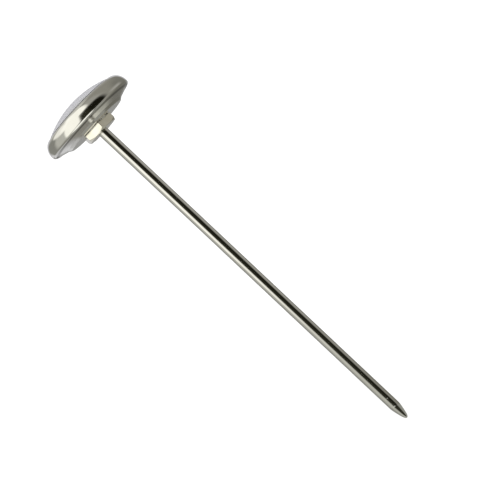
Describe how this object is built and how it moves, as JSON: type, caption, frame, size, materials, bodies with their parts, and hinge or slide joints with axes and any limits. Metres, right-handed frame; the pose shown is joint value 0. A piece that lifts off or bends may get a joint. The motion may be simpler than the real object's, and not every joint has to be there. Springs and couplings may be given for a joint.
{
  "type": "soil thermometer",
  "caption": "Dial soil thermometer: round steel head with a domed window, hexagon nut under it and a long pointed stem; head turns to recalibrate, pointer turns with temperature.",
  "frame": {"origin": "centre of the hexagon nut's soil-side face, on the stem's axis", "axes": "+Z along the stem's axis towards the dial; the stem points along -Z; twelve o'clock on the dial is +Y"},
  "size_m": [0.0524, 0.0524, 0.2235],
  "materials": {
    "polished_stainless": "polished",
    "satin_stainless": "satin",
    "plated_brass": "polished",
    "spring_steel": "satin",
    "spindle_steel": "satin",
    "brass": "satin",
    "bimetal": "satin",
    "dark_rubber": "matte",
    "pale_ptfe": "matte",
    "clear_window": "polished",
    "dial_paint": "satin",
    "black_paint": "satin"
  },
  "bodies": {
    "stem": {"stem_tube": "polished_stainless", "stem_tip": "polished_stainless", "hex_nut": "plated_brass", "seal_washer": "pale_ptfe", "clamp_washer": "spring_steel", "disc_spring": "spring_steel", "retaining_ring": "spring_steel", "top_bearing": "brass", "upper_guide": "brass", "lower_guide": "brass", "coil_anchor": "brass", "bimetal_coil": "bimetal"},
    "pointer": {"spindle": "spindle_steel", "coil_collet": "brass", "thrust_collar": "brass", "pointer_hub": "brass", "pointer": "black_paint"},
    "head": {"case_cup": "satin_stainless", "bezel_ring": "polished_stainless", "lens": "clear_window", "lens_gasket": "dark_rubber", "dial_plate": "dial_paint", "dial_posts": "spring_steel", "dial_screws": "spring_steel"}
  },
  "joints": [
    {"name": "pointer_turn", "type": "hinge", "parent": "stem", "child": "pointer", "pos_m": [0, 0, 0.009], "axis": [0, 0, 1], "range_deg": [-124.2, 145.8], "stiffness_Nm_per_rad": 0.00028, "deforming": ["bimetal_coil"]},
    {"name": "calibration_turn", "type": "hinge", "parent": "stem", "child": "head", "pos_m": [0, 0, 0.0047], "axis": [0, 0, 1], "continuous": true}
  ]
}
